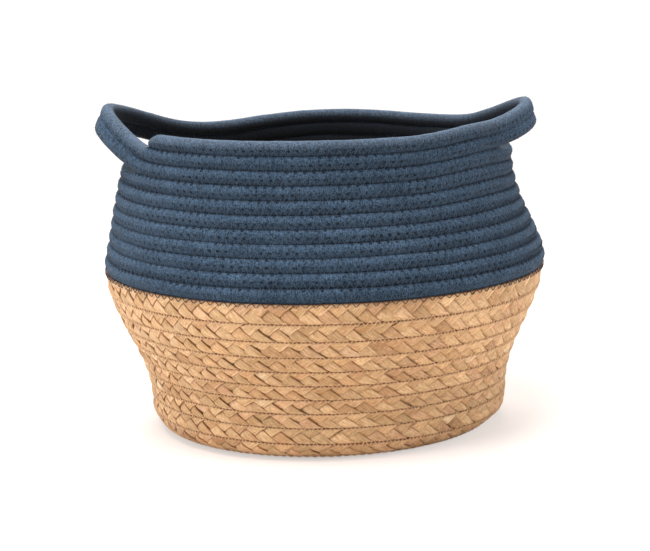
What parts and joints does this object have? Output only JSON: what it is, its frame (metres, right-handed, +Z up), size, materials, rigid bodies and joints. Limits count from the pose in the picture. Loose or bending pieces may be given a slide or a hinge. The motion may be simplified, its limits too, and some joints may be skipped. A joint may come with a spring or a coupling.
{
  "type": "storage basket",
  "caption": "Round bellied storage basket: a coiled natural plait makes the base and lower wall, a sewn navy rope coil the upper wall, rim and two raised loop handles.",
  "frame": {"origin": "on the floor under the middle of the base", "axes": "+Z up out of the mouth, -Y the front, the two handles at +X and -X"},
  "size_m": [0.303, 0.3016, 0.221],
  "materials": {
    "rope": "soft knitted navy cotton rope, dull and slightly fuzzy",
    "plait": "dry natural plaited plant fibre, satin on the flat stems",
    "rope_thread": "dark navy sewing thread, dull",
    "plait_thread": "straw-coloured sewing thread, dull"
  },
  "bodies": {
    "root": {"base_plait_coil": "plait", "wall_plait_coil": "plait", "wall_rope_coil": "rope", "rim_rope_front_upper": "rope", "rim_rope_front_lower": "rope", "rim_rope_back_upper": "rope", "rim_rope_back_lower": "rope", "right_handle_rope_upper": "rope", "right_handle_rope_lower": "rope", "left_handle_rope_upper": "rope", "left_handle_rope_lower": "rope", "base_seam_thread": "plait_thread", "wall_plait_seam_thread": "plait_thread", "joining_seam_thread": "rope_thread", "wall_rope_seam_thread": "rope_thread", "rim_front_seam_thread_upper": "rope_thread", "rim_front_seam_thread_lower": "rope_thread", "rim_back_seam_thread_upper": "rope_thread", "rim_back_seam_thread_lower": "rope_thread", "right_handle_seam_thread": "rope_thread", "left_handle_seam_thread": "rope_thread"}
  },
  "joints": []
}
